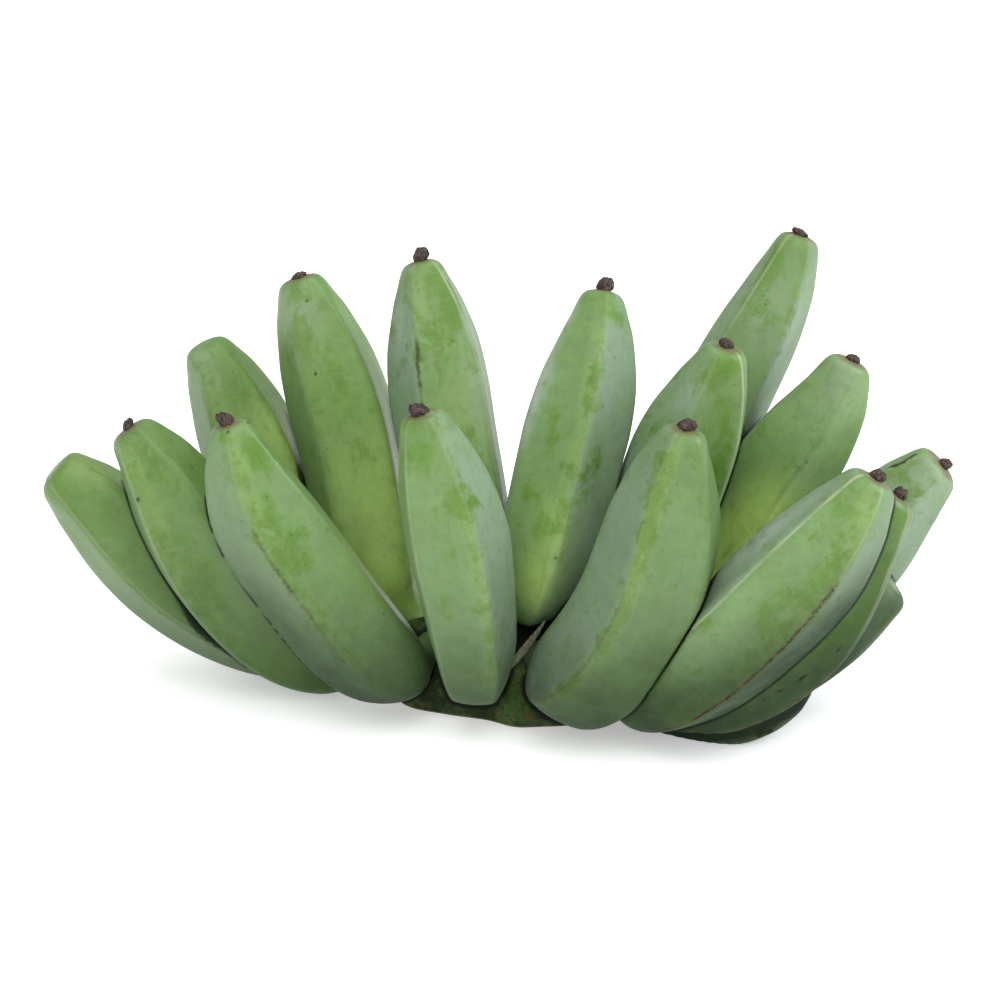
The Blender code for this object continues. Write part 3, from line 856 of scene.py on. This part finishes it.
def banana_skin():
    """Waxy green skin: bluish bloom, rubbed fresh patches, ridges with pale rims and thin brown scars."""
    look = Look("banana_skin")
    place = look.place()
    ridge = look.value("ridge")
    tip = look.value("tip")
    # heel: painted shade low down, where the skin looks down and close under another finger
    heel = look.value("heel")
    broad = look.noise(place, 22, 3, 0.5)
    cloud = look.noise(place, 60, 4, 0.6)
    mottle = look.noise(place, 190, 4, 0.65)
    grain = look.noise(place, 900, 2, 0.6)
    straight = look.node("ShaderNodeAttribute", attribute_name="straight").outputs["Vector"]
    streaks = look.noise(look.stretch(straight, (1.0, 1.0, 0.10)), 420, 3, 0.6)

    patch = look.noise(place, 115, 4, 0.65, 0.4)
    tint = look.plus(look.times(broad, 0.6), look.times(patch, 0.6))
    colour = look.mix(look.step(tint, 0.42, 0.80), LEAF, PALE_LEAF)
    # Painted light: a lighter yellow-green where light falls between the fingers and on lit tops
    glow = look.value("glow")
    colour = look.mix(look.times(glow, look.step(cloud, 0.1, 0.8, 0.70, 1.0)), colour, PAINTED_LIGHT_TINT)

    torn = look.noise(place, 260, 4, 0.7, 0.6)
    ragged = look.plus(look.times(cloud, 1.8), look.plus(look.times(patch, 3.2), look.times(torn, 1.0)))
    uneven = look.plus(ragged, look.plus(look.times(streaks, 0.9), -3.45))
    rubbed = look.plus(look.times(look.value("fresh"), 1.08), uneven)
    rubbed = look.step(rubbed, 0.12, 1.25, 0.0, 0.80)
    rubbed = look.times(rubbed, look.step(glow, 0.1, 0.9, 1.0, 0.35))

    wax = look.times(look.value("wax"), look.step(cloud, 0.28, 0.66, 0.70, 1.05))
    wax = look.times(wax, look.step(mottle, 0.25, 0.65, 0.85, 1.0))
    wax = look.times(wax, look.step(streaks, 0.32, 0.68, 0.74, 1.10))
    wax = look.times(wax, look.step(rubbed, 0.0, 0.85, 1.0, 0.15))
    wax = look.times(wax, look.step(glow, 0.0, 1.0, 1.0, 0.3))
    colour = look.mix(look.times(wax, 0.78), colour, BLOOM)
    # Painted highlight on lit facets, in the pale bluish colour of the wax bloom
    colour = look.mix(look.times(look.value("pale"), look.step(cloud, 0.2, 0.7, 0.7, 1.0)), colour, PALE_HIGHLIGHT)
    colour = look.mix(rubbed, colour, FRESH)

    colour = look.mix(look.step(mottle, 0.42, 0.70, 0.0, 0.14), colour, DEEP_GREEN_AND_SHADE)
    colour = look.mix(look.step(streaks, 0.50, 0.74, 0.0, 0.16), colour, FRESH)
    colour = look.mix(look.step(grain, 0.50, 0.75, 0.0, 0.10), colour, BLOOM)

    rim = look.times(look.step(ridge, 0.1, 1.1, 1.0, 0.0), look.step(cloud, 0.30, 0.60, 0.35, 1.0))
    colour = look.mix(look.times(rim, look.value("rim")), colour, RIM)
    # Painted shade from the heel values, in a deep green
    colour = look.mix(look.times(heel, look.step(cloud, 0.3, 0.7, 1.0, 0.85)), colour, DEEP_GREEN_AND_SHADE)
    # Painted crease shade where a neighbour presses, and the painted shadow line along the outline of a
    # finger in front
    colour = look.mix(look.step(look.value("flat"), 0.40, 1.00, 0.0, 0.90), colour, CONTACT_SHADE)
    colour = look.mix(look.step(look.value("contact"), 0.55, 1.35, 0.93, 0.0), colour, CONTACT_SHADE)

    spot = look.node("ShaderNodeTexVoronoi", {"Vector": place, "Scale": 130.0, "Randomness": 1.0})
    dots = look.step(spot.outputs["Distance"], 0.05, 0.13, 1.0, 0.0)
    picked = look.node("ShaderNodeSeparateColor", {"Color": spot.outputs["Color"]}).outputs["Red"]
    dots = look.times(dots, look.step(picked, 0.80, 0.84))
    colour = look.mix(look.times(dots, look.step(cloud, 0.40, 0.60, 0.05, 0.65)), colour, SPECK)

    fine = look.node("ShaderNodeTexVoronoi", {"Vector": place, "Scale": 420.0, "Randomness": 1.0})
    picked = look.node("ShaderNodeSeparateColor", {"Color": fine.outputs["Color"]}).outputs["Red"]
    dots = look.step(fine.outputs["Distance"], 0.10, 0.28, 1.0, 0.0)
    dots = look.times(dots, look.step(picked, 0.84, 0.88))
    colour = look.mix(look.times(dots, look.step(patch, 0.46, 0.62, 0.0, 0.55)), colour, SPECK)

    width = look.step(torn, 0.30, 0.75, 0.0, 1.15)
    line = look.step(look.math("SUBTRACT", ridge, width), -0.30, 0.25, 1.0, 0.0)
    line = look.times(line, look.times(look.value("scar"), look.step(mottle, 0.30, 0.55, 0.25, 1.0)))
    halo = look.step(look.math("SUBTRACT", ridge, width), -0.2, 1.1, 1.0, 0.0)
    halo = look.times(halo, look.times(look.value("scar"), look.step(cloud, 0.25, 0.55, 0.15, 0.60)))
    colour = look.mix(halo, colour, OLD_SCAR)
    colour = look.mix(look.times(line, look.step(torn, 0.35, 0.60, 0.35, 0.80)), colour, SCAR)
    brown = look.plus(look.value("brown"), look.plus(look.times(torn, 1.2), -0.60))
    colour = look.mix(look.step(brown, 0.30, 0.75, 0.0, 0.9), colour, SCAR)

    ring = look.times(look.step(tip, 0.70, 1.0), look.step(mottle, 0.25, 0.60, 0.15, 0.85))
    colour = look.mix(ring, colour, RING)

    rough = look.step(wax, 0.0, 0.6, 0.40, 0.58)
    height = look.plus(look.times(cloud, 0.6), look.plus(look.times(mottle, 0.25), look.times(grain, 0.05)))
    normal = look.bump(height, 0.35, 0.0011)
    # Less specular where the painted shade is, so that it stays dark
    look.feed(look.shader.inputs["Specular IOR Level"], look.step(heel, 0.35, 0.85, 0.36, 0.06))
    return look.finish(colour, rough, normal)


def dried_flower():
    """Shrivelled dark brown fibre with lighter torn edges."""
    look = Look("dried_flower")
    place = look.place()
    strands = look.noise(look.stretch(place, (1.0, 1.0, 0.25)), 1500, 3, 0.6)
    lumps = look.noise(place, 420, 3, 0.6)
    colour = look.mix(look.step(strands, 0.38, 0.66), FIBRE_DARK, FIBRE)
    colour = look.mix(look.step(lumps, 0.56, 0.72, 0.0, 0.75), colour, FIBRE_EDGE)
    colour = look.mix(look.step(look.value("base"), 0.0, 1.0), colour, FIBRE_BASE)
    normal = look.bump(look.plus(strands, lumps), 0.8, 0.0008)
    return look.finish(colour, look.step(lumps, 0.3, 0.7, 0.62, 0.9), normal)


def crown_rind():
    """Dark green rind of the cut stub, with brown scars, painted recess shade and painted shadow lines along
    fingers.
    """
    look = Look("crown_rind")
    place = look.place()
    broad = look.noise(place, 45, 3, 0.55)
    cloud = look.noise(place, 130, 4, 0.65)
    fine = look.noise(place, 520, 3, 0.65)
    colour = look.mix(look.step(broad, 0.35, 0.65), RIND_DARK, RIND)
    colour = look.mix(look.step(cloud, 0.48, 0.66, 0.0, 0.85), colour, RIND_LIGHT)
    colour = look.mix(look.step(fine, 0.50, 0.66, 0.0, 0.70), colour, RIND_BROWN)
    scarred = look.plus(look.value("scar"), look.times(look.plus(fine, -0.5), 2.4))
    colour = look.mix(look.step(scarred, 0.45, 1.10, 0.0, 0.75), colour, RIND_SCAR)
    # Painted shade in the recess, and painted shadow lines along the fingers in front
    colour = look.mix(look.step(look.value("hole"), 0.20, 0.60, 0.0, 0.95), colour, PAINTED_RIND_SHADE)
    colour = look.mix(look.step(look.value("contact"), 0.55, 1.6, 0.93, 0.0), colour, PAINTED_RIND_SHADE)
    look.shader.inputs["Specular IOR Level"].default_value = 0.15
    colour = look.mix(look.value("cut"), colour, CUT_FACE)
    normal = look.bump(look.plus(cloud, look.times(fine, 0.4)), 0.7, 0.0022)
    return look.finish(colour, look.step(fine, 0.3, 0.7, 0.5, 0.75), normal)


# Fingers


def facet_values(finger, angle):
    """The wax on each facet, going over from one to the next at the ridge between them."""
    amounts = np.array(WAX[finger.name])
    spot = angle / (2 * math.pi / FACETS)
    nearest = np.round(spot).astype(int)
    part = spot - nearest
    edge = smooth_step(np.abs(part), 0.45, 0.55)
    beside = amounts[(nearest + np.where(part > 0, 1, -1)) % FACETS]
    return amounts[nearest % FACETS] * (1 - edge) + beside * edge


def ray_hit(points, faces_normal, place, ray):
    """The number of the point that lies nearest to a ray, among those that look towards the camera."""
    away = points - place
    along = away @ ray
    off = np.linalg.norm(away - along[:, None] * ray[None], axis=1)
    facing = (faces_normal @ ray) < -0.1
    return int(np.where(facing, off + 0.002 * along, np.inf).argmin())


def lengthwise_band(places, start, end, soft, soft_end):
    """1 between two places along a finger and 0 outside them, with soft ends."""
    rise = smooth_step(places, start - soft, start + soft)
    return rise * (1 - smooth_step(places, end - soft, end + soft_end))


def painted_shade_values(finger, fingers, points, out):
    """Painted shade on each point from being low, looking down or under another finger, with each finger's
    tone.
    """
    height = points[:, 2].reshape(RINGS, SIDES)
    down = smooth_step(-out[:, :, 2], -0.35, 0.75)
    in_front = finger.name.startswith("front")
    low = HEEL_SHADE.get(finger.name, FRONT_HEEL_SHADE * in_front) * (1 - smooth_step(height, *HEEL_HEIGHTS))
    usual = FRONT_DOWN_SHADE if in_front else BACK_DOWN_SHADE
    below = DOWN_SHADE.get(finger.name, usual) * down * (1 - smooth_step(height, *DOWN_HEIGHTS))
    shade = 1 - (1 - low) * (1 - np.clip(below, 0, 0.95)) * (1 - BASE_SHADE.get(finger.name, 0.0))
    if finger.name in UNDER:
        other_name, dark_reach = UNDER[finger.name]
        other = next(other for other in fingers if other.name == other_name)
        dark = 1 - smooth_step(other.depth(points), 0.35 * dark_reach, dark_reach)
        shade = np.maximum(shade, DARKEST * dark.reshape(RINGS, SIDES))
    return np.clip(shade, 0, DARKEST)


def strip_values(finger, places, ridge, beside, which):
    """How fresh each point is from the green strips beside the ridges."""
    fresh = np.zeros((RINGS, SIDES))
    for name, ridge_number, side, start, end, width, strength in RIDGE_STRIPS:
        if name == finger.name:
            run = lengthwise_band(places, start, end, 0.04, 0.02)
            band = (1 - smooth_step(ridge, 0.5 * width, width)) * (which == ridge_number)
            band = band * (beside * side > -0.5)
            fresh = np.maximum(fresh, strength * run[:, None] * band)
    return fresh.reshape(-1)


def scar_values(finger, places, which):
    """How scarred the ridge nearest to each point is."""
    scar = np.zeros((RINGS, SIDES))
    for name, ridge_number, start, end, strength in RIDGE_SCARS:
        if name == finger.name:
            run = lengthwise_band(places, start, end, 0.03, 0.03)
            scar = np.maximum(scar, strength * run[:, None] * (which == ridge_number)[None, :])
    return scar


def mark_values(finger, points, outward, along):
    """How strong the marks of each kind are at each point. A streak is a narrow brown mark."""
    amounts = {kind: np.zeros(len(points)) for kind in ("fresh", "glow", "pale", "brown")}
    for kind, rows in MARKS.get(finger.name, {}).items():
        drawn = "brown" if kind == "streak" else kind
        for x, y, radius, strength in rows:
            hit = ray_hit(points, outward, *pixel_ray(x, y))
            away = points - points[hit]
            lengthwise = away @ along[hit // SIDES]
            across2 = (away**2).sum(1) - lengthwise**2
            near = np.sqrt(np.maximum(across2, 0) + (MARK_STRETCH[kind] * lengthwise) ** 2)
            amount = strength * (1 - smooth_step(near, 0.0, MARK_FADE * radius))
            amounts[drawn] = np.maximum(amounts[drawn], amount)
    return amounts


def make_finger(finger, fingers, material):
    """Builds one finger with the values that its skin reads."""
    others = [other for other in fingers if other is not finger and finger.near(other)]
    places = ring_places(RINGS)
    middle, out, reach, along = finger.rings(places, SIDES)
    points, flat = pressed(finger, others, middle, out, reach)
    mesh = loft_mesh("skin_" + finger.name, points.reshape(RINGS, SIDES, 3))
    keep_in_box(mesh)
    angle = np.linspace(0, 2 * math.pi, SIDES, endpoint=False)
    spot = angle / (2 * math.pi / FACETS) - 0.5
    which = np.round(spot).astype(int) % FACETS
    off = (spot - np.round(spot)) * 2 * math.pi / FACETS
    beside = off[None, :] * np.maximum(reach, 4)
    ridge = np.abs(beside)
    wax = np.repeat(facet_values(finger, angle)[None, :], RINGS, 0)
    wax = wax * (1 - 0.35 * smooth_step(places, 0.84, 0.98))[:, None]
    outward = out.reshape(-1, 3)
    finger.keep_skin(points, outward, mesh)
    has_tip = any(row[0] == finger.name for row in DRIED_TIPS)
    tip = np.repeat(smooth_step(places, 0.984, 1.0)[:, None], SIDES, 1) * has_tip
    strips = strip_values(finger, places, ridge, beside, which)
    marks = mark_values(finger, points, outward, along)
    edges = RIDGE_FRESH * (1 - smooth_step(ridge.reshape(-1), 1.0, 4.0)) * (points[:, 2] > 0)
    fresh = np.maximum(np.maximum(strips, marks["fresh"]), edges)
    # Painted light from the strips and the marks
    glow = np.maximum(STRIP_PAINTED_LIGHT * strips, marks["glow"])
    section = np.stack([np.cos(angle)[None, :] * reach, np.sin(angle)[None, :] * reach], axis=2)
    lengths = np.repeat((places * finger.length)[:, None], SIDES, 1)[:, :, None]
    straight = np.concatenate([section, lengths], axis=2).reshape(-1, 3) * MM
    straight = np.concatenate([straight, straight[:1], straight[-1:]])
    layer = mesh.attributes.new("straight", "FLOAT_VECTOR", "POINT")
    layer.data.foreach_set("vector", straight.astype(np.float32).reshape(-1))
    rim = np.full(FACETS, OTHER_RIMS)
    for name, ridge_number, strength in RIDGE_RIMS:
        if name == finger.name:
            rim[ridge_number] = strength
    add_values(mesh, "ridge", ridge, [FAR_OFF, FAR_OFF])
    add_values(mesh, "wax", wax, [0.3, 0.1])
    add_values(mesh, "tip", tip, [0, 1])
    # heel: painted shade low down, looking down and under other fingers
    add_values(mesh, "heel", painted_shade_values(finger, fingers, points, out), [1, 0])
    add_values(mesh, "fresh", fresh, [0, 0])
    add_values(mesh, "scar", scar_values(finger, places, which), [0, 0])
    add_values(mesh, "glow", glow, [0, 0])
    add_values(mesh, "pale", marks["pale"], [0, 0])
    add_values(mesh, "brown", marks["brown"], [0, 0])
    add_values(mesh, "rim", np.repeat(rim[which][None, :], RINGS, 0), [0, 0])
    # flat: painted crease shade where a neighbour presses
    add_values(mesh, "flat", flat, [0, 0])
    add_piece("skin_" + finger.name, mesh, material, ["finger_" + finger.name])


def noise_round(angle, radius, height):
    """Noise along a circle, which meets itself at the end."""
    spots = [Vector((radius * math.cos(a), radius * math.sin(a), height)) for a in angle]
    return np.array([noise.noise(spot) for spot in spots])


def make_dried_tip(finger, half_width, length, lean, material):
    """Builds the dried remains of the flower: a lump with torn lobes and creases."""
    spine, _ = spline_points(finger.spine, SPINE_STEPS + 1)
    along, front, across = spine_frames(spine)
    start = spine[-1] + along[-1] * TIP_GAP
    angle = np.linspace(0, 2 * math.pi, TIP_SIDES, endpoint=False)
    heights = np.linspace(0, 1, TIP_RINGS)
    shares = np.interp(heights * TIP_SHARE, [h for h, _ in TIP_PROFILE], [s for _, s in TIP_PROFILE])
    seed = sum(ord(letter) for letter in finger.name) * 0.37
    rings = []
    for height, share in zip(heights, shares):
        middle = start + along[-1] * height * TIP_SHARE * length + across[-1] * lean * height * half_width * 2
        lobes = 1 + 0.13 * np.sin(3 * angle + seed + 1.2 * height) + 0.10 * np.sin(7 * angle - 2 * seed)
        creases = noise_round(angle, 3, 2.2 * height + seed)
        size = half_width * share * (lobes + 0.22 * creases) * TIP_SHARE
        lift = noise_round(angle, 2, 7 + seed)
        out = np.cos(angle)[:, None] * front[-1] + np.sin(angle)[:, None] * across[-1]
        raised = (0.22 * length * height * (lift - 0.25))[:, None]
        rings.append(middle + out * size[:, None] + along[-1] * raised)
    name = "dried_tip_skin_" + finger.name
    mesh = loft_mesh(name, np.array(rings))
    keep_in_box(mesh)
    base = np.repeat((1 - smooth_step(heights, 0.0, 0.22))[:, None], TIP_SIDES, 1)
    add_values(mesh, "base", base, [1, 0])
    add_piece(name, mesh, material, ["dried_tip_" + finger.name])


# Crown


def crown_outline(sides):
    """Points round the crown's outline, smoothly through the chosen ones."""
    chosen = np.array(CROWN_OUTLINE, float)
    count = len(chosen)
    spot = np.arange(sides) * count / sides
    i = spot.astype(int)
    t = (spot - i)[:, None]
    before, here, after, later = (chosen[(i + k) % count] for k in (-1, 0, 1, 2))
    bend = 2 * before - 5 * here + 4 * after - later
    return here + 0.5 * t * (after - before + t * (bend + t * (3 * (here - after) + later - before)))


def make_crown(fingers, material):
    """Builds the stub of stalk with its knobs, cut clear of each finger's stalk."""
    outline = crown_outline(CROWN_SIDES)
    centre = outline.mean(axis=0)
    away = outline - centre
    angle = np.arctan2(away[:, 1], away[:, 0])
    levels = np.array(CROWN_LEVELS, float)
    heights = np.linspace(0, levels[-1, 0], CROWN_RINGS)
    rings = []
    for height in heights:
        share, shift_x, shift_y = (np.interp(height, levels[:, 0], levels[:, k]) for k in (1, 2, 3))
        lumps = 1 + CROWN_LUMPS * np.sin(5 * angle + height / 4) * min(1, height / 5)
        flat = centre + away * share * lumps[:, None] + (shift_x, shift_y)
        ring = np.column_stack([flat, np.full(CROWN_SIDES, height)])
        if height > 0:
            knobs = np.array([noise.fractal(Vector(p * CROWN_KNOB_SCALE), 1.0, 2.0, 3) for p in ring])
            out = np.column_stack([np.cos(angle), np.sin(angle), np.zeros(CROWN_SIDES)])
            ring = ring + out * (CROWN_KNOBS * knobs * min(1, height / 6))[:, None]
        rings.append(ring)
    mesh = loft_mesh("rind_crown", np.array(rings))
    mesh.vertices[-1].co = np.array(CROWN_TOP) * MM
    crown = add_piece("rind_crown", mesh, material, ["crown"])
    cutters = []
    for finger in fingers:
        places = np.linspace(0, SOCKET_REACH, SOCKET_RINGS)
        middle, out, reach, along = finger.rings(places, SOCKET_SIDES, SOCKET_GAP)
        middle[0] -= along[0] * SOCKET_GAP
        name = "socket_" + finger.name
        cutter = add_object(name, loft_mesh(name, middle + out * reach[:, :, None]))
        cutters.append(cutter)
        cut = crown.modifiers.new("socket", "BOOLEAN")
        cut.operation = "DIFFERENCE"
        cut.solver = "MANIFOLD"
        cut.object = cutter
    bpy.context.view_layer.update()
    done = bpy.data.meshes.new_from_object(crown.evaluated_get(bpy.context.evaluated_depsgraph_get()))
    crown.modifiers.clear()
    crown.data = done
    done.shade_smooth()
    done.set_sharp_from_angle(angle=math.radians(CROWN_CREASE))
    for cutter in cutters:
        bpy.data.objects.remove(cutter, do_unlink=True)
    points = read_vectors(done, "co") / MM
    normals = read_vectors(done, "normal")
    for kind in ("scar", "hole"):
        amount = np.zeros(len(points))
        for x, y, radius, mark_kind, strength in CROWN_MARKS:
            if mark_kind == kind:
                near = np.linalg.norm(points - points[ray_hit(points, normals, *pixel_ray(x, y))], axis=1)
                amount = np.maximum(amount, strength * (1 - smooth_step(near, 0.0, CROWN_MARK_FADE * radius)))
        add_layer(done, kind, amount)
    # Painted shadow lines along the fingers in front of the crown
    add_layer(done, "contact", contact_distance("crown", points, normals, fingers))
    add_layer(done, "cut", [1.0 if v.co.z < 0.0002 else 0.0 for v in done.vertices])


def make_torn_edge(material):
    """Builds the thin torn edge of a stalk that stands up from the crown between two fingers."""
    turn = np.linspace(0, 2 * math.pi, TORN_EDGE_SIDES, endpoint=False)
    rings = []
    for x, y, half_width in TORN_EDGE:
        place, ray = pixel_ray(x, y)
        middle = place + ray * (TORN_EDGE_PLACE - place[1]) / ray[1]
        wide = np.cos(turn)[:, None] * np.array(TORN_EDGE_ACROSS) * half_width
        rings.append(middle + wide + np.sin(turn)[:, None] * np.array(TORN_EDGE_LIFT))
    add_piece("torn_stalk_edge", loft_mesh("torn_stalk_edge", np.array(rings)), material)


def torn_fibre():
    """Pale dry fibre with darker streaks."""
    look = Look("torn_fibre")
    streaks = look.noise(look.stretch(look.place(), (1.0, 1.0, 0.4)), 900, 3, 0.6)
    colour = look.mix(look.step(streaks, 0.38, 0.66), TORN_DARK, TORN_LIGHT)
    return look.finish(colour, 0.75, look.bump(streaks, 0.5, 0.0006))


# Stage


def plain_material(name, colour, roughness, light):
    material = bpy.data.materials.new(name)
    material.use_nodes = True
    shader = material.node_tree.nodes["Principled BSDF"]
    shader.inputs["Base Color"].default_value = (*colour, 1)
    shader.inputs["Roughness"].default_value = roughness
    shader.inputs["Emission Color"].default_value = (1, 1, 1, 1)
    shader.inputs["Emission Strength"].default_value = light
    return material


def add_floor():
    """A plain pale floor, far wider than the camera sees."""
    mesh = bpy.data.meshes.new("floor")
    size = FLOOR_SIZE
    corners = [(-size, -size, 0), (size, -size, 0), (size, size, 0), (-size, size, 0)]
    mesh.from_pydata(corners, [], [(0, 1, 2, 3)])
    mesh.update()
    mesh.materials.append(plain_material("floor", (0.95, 0.95, 0.95), 0.9, FLOOR_GLOW))
    floor = add_object("floor", mesh)
    floor.location.z = -FLOOR_DROP


def add_light(name, place, target, size, power, colour):
    data = bpy.data.lights.new(name, "AREA")
    data.shape = "DISK"
    data.size = size
    data.energy = power
    data.color = colour
    light = add_object(name, data)
    light.location = place
    aim(light, Vector(target) - Vector(place))


def add_sun(name, place, width, strength):
    """A broad even light from the direction of a point."""
    data = bpy.data.lights.new(name, "SUN")
    data.angle = math.radians(width)
    data.energy = strength
    aim(add_object(name, data), -Vector(place))


def add_lights():
    """Two broad even lights, a soft one from the right and a pale sky."""
    add_sun("key", (0.05, -1.0, 0.85), 60, 1.25)
    add_sun("overhead", (0.15, -0.10, 1.0), 70, 1.35)
    add_light("right", (1.5, 0.3, 1.0), (0, 0, 0.08), 0.8, 12, (0.90, 0.95, 1.0))
    world = bpy.data.worlds.new("sky")
    world.use_nodes = True
    sky = world.node_tree.nodes["Background"]
    sky.inputs["Color"].default_value = (*SKY, 1)
    sky.inputs["Strength"].default_value = SKY_STRENGTH
    bpy.context.scene.world = world


def main():
    fingers = [Finger(*row) for row in FINGERS]
    skin = banana_skin()
    for finger in fingers:
        make_finger(finger, fingers, skin)
    for finger in fingers:
        # Painted shadow lines where a finger shows from behind another
        close = [other for other in fingers if finger.near(other)]
        contact = contact_distance(finger.name, finger.skin, finger.outward, close)
        add_values(finger.mesh, "contact", contact, [FAR_OFF, FAR_OFF])
    dried = dried_flower()
    for name, half_width, length, lean in DRIED_TIPS:
        finger = next(finger for finger in fingers if finger.name == name)
        make_dried_tip(finger, half_width, length, lean, dried)
    make_crown(fingers, crown_rind())
    make_torn_edge(torn_fibre())
    add_floor()
    add_lights()
    add_camera()
    bpy.context.scene.view_settings.view_transform = "Standard"


main()
